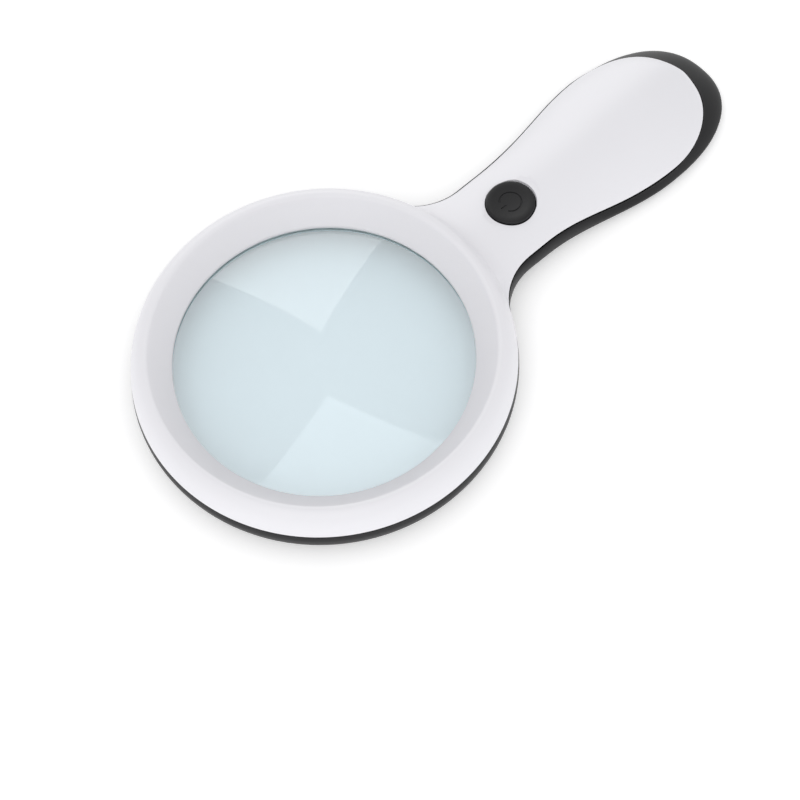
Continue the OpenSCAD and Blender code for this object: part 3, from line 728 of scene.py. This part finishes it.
def make_door():
    door = shell_solid("battery_door", 0.0, 0.0, ROOT_X)
    keep(door, block("panel", (DOOR_X, -DOOR_Y, -20), (SHELL_TIP + 5, DOOR_Y, -DOOR_PLANE - SEAM_SHOWN)))
    hollow = shell_solid("hollow", DOOR_WALL, 1.0, CAVITY_X)
    cut(hollow, *pair(lambda side: side_block("side", (50, SHELL_TIP), (DOOR_Y - DOOR_SIDE_T, DOOR_Y + 1),
                                              (-20, 5), side)))
    cut(door, hollow)
    tongues = pair(lambda side: side_block("tongue", TONGUE_X, (DOOR_Y - DOOR_SIDE_T, DOOR_Y + TONGUE_REACH),
                                           TONGUE_Z, side))
    return add(door, *tongues)


battery_door = make_door()
piece(battery_door, black, "door", ["battery_door"], 32)


# ---- Lens --------------------------------------------------------------------------------------------------
def sag(curve_r, r):
    """How far a round surface of radius curve_r has fallen away at a distance r from its middle."""
    return curve_r - math.sqrt(curve_r ** 2 - r ** 2)


def make_lens():
    """Glass with a chamfered edge. A narrow flat bevel runs round the front, next to the bezel."""
    chamfer = 0.3
    half = LENS_EDGE_T / 2 - chamfer
    rim_r = LENS_R - chamfer
    bevel_r = LENS_R - 2.0
    shares = [math.sin(math.radians(a)) for a in np.linspace(0, 90, 49)]
    front_z = LENS_MID_Z + half + chamfer + sag(LENS_FRONT_R, rim_r)
    back_z = LENS_MID_Z - half - chamfer - sag(LENS_BACK_R, rim_r)
    upper = [(bevel_r * u, front_z - sag(LENS_FRONT_R, bevel_r * u)) for u in shares]
    upper.append((rim_r, LENS_MID_Z + half))
    lower = [(rim_r * u, back_z + sag(LENS_BACK_R, rim_r * u)) for u in shares]
    edge = [(LENS_R, LENS_MID_Z - half), (LENS_R, LENS_MID_Z + half)]
    return revolve("lens", lower + edge + upper[::-1], 0.0, 256, closed=False)


# The edge of the glass is ground, and the faces are polished.
lens = piece(face_outward(make_lens()), glass, "frame", ["lens"], 20)
lens.data.materials.append(ground_edge)
for face in lens.data.polygons:
    if abs(face.normal.z) < 0.9:
        face.material_index = 1


# ---- Button and lamp window --------------------------------------------------------------------------------
def make_button():
    top, r = BUTTON_TOP_Z, BUTTON_R
    low, high = FLANGE_Z
    skirt_r = r - 1.1
    flange_r = r + 0.95
    profile = [(0.0, BUTTON_UNDER_Z), (skirt_r, BUTTON_UNDER_Z), (skirt_r, low), (flange_r, low)]
    profile += [(flange_r, high), (r, high)]
    profile += round_corner((r, high), (r, top), (0.0, top), 0.7, 8)
    dish_r = r - 1.6
    for i in range(13):
        u = 1 - i / 12
        profile.append((dish_r * u, top - 0.32 * (1 - u * u)))
    return revolve("power_button", profile, LAMP_X, 128, closed=False)


def cut_mark(button):
    """Engraves a broken ring with a short bar in the dished top."""
    mark_r, low, high = 3.3, BUTTON_TOP_Z - 0.42, BUTTON_TOP_Z + 0.2
    half_low, half_high = 0.16, 0.46
    profile = [(mark_r - half_low, low), (mark_r - half_high, high), (mark_r + half_high, high),
               (mark_r + half_low, low)]
    spans = 64
    verts, faces = [], []
    for i in range(spans + 1):
        a = math.radians(-145 + 290 * i / spans)
        verts += [(LAMP_X + r * math.cos(a), r * math.sin(a), z) for r, z in profile]
    for i in range(spans):
        for j in range(4):
            k = (j + 1) % 4
            faces.append((4 * i + j, 4 * i + k, 4 * (i + 1) + k, 4 * (i + 1) + j))
    faces += [(3, 2, 1, 0), tuple(4 * spans + j for j in range(4))]
    cut(button, new_object("ring_mark", verts, faces))
    x0, x1 = LAMP_X - mark_r - 0.4, LAMP_X - 1.6
    section = [(-half_low, low), (-half_high, high), (half_high, high), (half_low, low)]
    verts = [(x, y, z) for x in (x0, x1) for y, z in section]
    faces = [(j, (j + 1) % 4, 4 + (j + 1) % 4, 4 + j) for j in range(4)] + [(3, 2, 1, 0), (4, 5, 6, 7)]
    return cut(button, new_object("bar_mark", verts, faces))


piece(cut_mark(make_button()), button_black, "button", ["power_button"], 32)


def make_spring():
    coil_r, wire_r, turns, steps = 1.75, 0.15, 3.5, 98
    sections = []
    for i in range(steps + 1):
        a = 2 * math.pi * turns * i / steps
        z = SPRING_Z[0] + wire_r + (SPRING_H - 2 * wire_r) * i / steps
        section = []
        for j in range(8):
            b = math.pi / 4 * j
            r = coil_r + wire_r * math.cos(b)
            section.append((LAMP_X + r * math.cos(a), r * math.sin(a), z + wire_r * math.sin(b)))
        sections.append(section)
    return face_outward(skin("switch_spring", sections))


# The spring goes with the button, its top end on the plunger's head, and gets a mesh of its own. The real
# spring shortens by the button's travel.
spring = piece(make_spring(), spring_steel, "button", ["switch_spring"], 40)
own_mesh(spring)


def make_window():
    r, z = WINDOW_R, WINDOW_FACE_Z
    lip_r = r + 0.8
    low, high = -6.55, -5.85
    profile = [(0.0, high), (lip_r, high), (lip_r, low), (r, low)]
    profile += round_corner((r, low), (r, z + 0.35), (0.0, z), 0.5, 6)
    for i in range(9):
        u = 1 - (i + 1) / 9
        profile.append(((r - 0.8) * u, z + 0.32 - 0.3 * (1 - u * u)))
    return revolve("lamp_window", profile, LAMP_X, 128, closed=False)


piece(face_outward(make_window()), frosted, "frame", ["lamp_window"], 32)

# ---- CAD nodes that stay -----------------------------------------------------------------------------------
CARRIED = {
    "lens_gasket": gasket, "switch_plunger": plunger_plastic, "switch_body": inner_black,
    "lamp_board": board_green, "board_screws": steel, "limit_resistor": ceramic,
    "lamp_led": led_resin, "lamp_reflector": mirror, "wire_red": red_sleeve, "wire_black": black_sleeve,
    "battery_cradle": inner_black, "battery_1": cell_sleeve("sleeve_1", True),
    "battery_2": cell_sleeve("sleeve_2", False), "contact_positive": contact_metal,
    "contact_negative": contact_metal, "contact_bridge": contact_metal, "shell_screws": steel,
    "door_pad": foam,
}
for name, mat in CARRIED.items():
    dress(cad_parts[name], mat)
    smooth(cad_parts[name], 30)

# ---- Floor, light and camera -------------------------------------------------------------------------------
scene.view_settings.view_transform = "Standard"

floor_material = material("floor", (0.93, 0.93, 0.935), 0.9, Emission_Color=(1.0, 1.0, 1.0, 1.0),
                          Emission_Strength=0.29)
floor_mesh = bpy.data.meshes.new("floor")
reach = 4.0
corners = [(-reach, -reach, 0), (reach, -reach, 0), (reach, reach, 0), (-reach, reach, 0)]
floor_mesh.from_pydata(corners, [], [(0, 1, 2, 3)])
floor = bpy.data.objects.new("floor", floor_mesh)
floor.location.z = -0.00002      # just clear of what rests on it
scene.collection.objects.link(floor)
dress(floor, add_grain(floor_material, 300, 0.02, 0.05, tint=0.002))

world = bpy.data.worlds.new("studio")
world.use_nodes = True
world.node_tree.nodes["Background"].inputs["Color"].default_value = (1.0, 1.0, 1.0, 1.0)
world.node_tree.nodes["Background"].inputs["Strength"].default_value = 0.86
scene.world = world


def light_card(name, corner, side_a, side_b, power):
    """A rectangular light with one corner at corner, running along side_a and, square to it, along side_b."""
    corner, side_a, side_b = Vector(corner), Vector(side_a), Vector(side_b)
    side_b = side_b - side_a * side_a.dot(side_b) / side_a.dot(side_a)
    light = bpy.data.lights.new(name, "AREA")
    light.shape = "RECTANGLE"
    light.size = side_a.length
    light.size_y = side_b.length
    light.energy = power
    middle = corner + (side_a + side_b) / 2
    x_axis, y_axis = side_a.normalized(), side_b.normalized()
    z_axis = x_axis.cross(y_axis)
    # A light shines along its own -Z, so its +Z points away from the object.
    if z_axis.dot(middle) < 0:
        y_axis, z_axis = -y_axis, -z_axis
    obj = bpy.data.objects.new(name, light)
    obj.matrix_world = Matrix((x_axis, y_axis, z_axis)).transposed().to_4x4()
    obj.location = middle
    scene.collection.objects.link(obj)
    return obj


# The card stands behind the lens, where both of the lens's faces mirror one corner of it. The corner, and a
# point on each of its two sides, are directions from the middle of the lens times distances in metres.
LENS_MIDDLE = Vector(to_frame((0.0, 0.0, LENS_MID_Z)))
card_corner = Vector((0.30, 0.44, 0.85)) * 1.2
card_a = Vector((0.193, 0.733, 0.652)) * 0.96 - card_corner
card_b = Vector((0.565, 0.503, 0.653)) * 1.454 - card_corner
card = light_card("card", LENS_MIDDLE + card_corner, card_a * 2.4, card_b * 5.0, 15.0)
card.visible_diffuse = False     # it is only mirrored and lights nothing

# A soft square light from behind the camera's left shoulder.
key_from = Vector((-0.9, -0.75, 1.1))
key_side = Vector((0.75, -0.9, 0.0)).normalized() * 1.2
key_rise = key_from.cross(key_side).normalized() * 1.2
light_card("key", key_from - (key_side + key_rise) / 2, key_side, key_rise, 4.0)

# The camera stands 600 mm from the lens, 34 degrees round to the side and 62 degrees up. The last three angles
# turn it from looking at the middle of the lens.
CAMERA = {"azimuth": 34.09, "elevation": 61.75, "distance": 600.0, "focal_length": 92.7315,
          "yaw": 1.93, "pitch": -1.41, "roll": -7.88}


def add_camera():
    az, el = math.radians(CAMERA["azimuth"]), math.radians(CAMERA["elevation"])
    yaw, pitch, roll = (math.radians(CAMERA[k]) for k in ("yaw", "pitch", "roll"))
    right = Vector((math.cos(az), -math.sin(az), 0))
    level = Vector((math.sin(az), math.cos(az), 0))
    up_axis = Vector((0, 0, 1))
    place = (up_axis * math.sin(el) - level * math.cos(el)) * CAMERA["distance"]
    ahead = level * math.cos(el) - up_axis * math.sin(el)
    up = right.cross(ahead)
    turned = ahead * math.cos(yaw) + right * math.sin(yaw)
    right = right * math.cos(yaw) - ahead * math.sin(yaw)
    ahead = turned * math.cos(pitch) + up * math.sin(pitch)
    up = up * math.cos(pitch) - turned * math.sin(pitch)
    right, up = right * math.cos(roll) + up * math.sin(roll), up * math.cos(roll) - right * math.sin(roll)
    data = bpy.data.cameras.new("camera")
    data.sensor_width = 36.0
    data.lens = CAMERA["focal_length"]
    data.clip_start, data.clip_end = 0.01, 20.0
    camera = bpy.data.objects.new("camera", data)
    camera.matrix_world = Matrix((right, up, -ahead)).transposed().to_4x4()
    camera.location = to_frame(place)
    scene.collection.objects.link(camera)
    scene.camera = camera


add_camera()
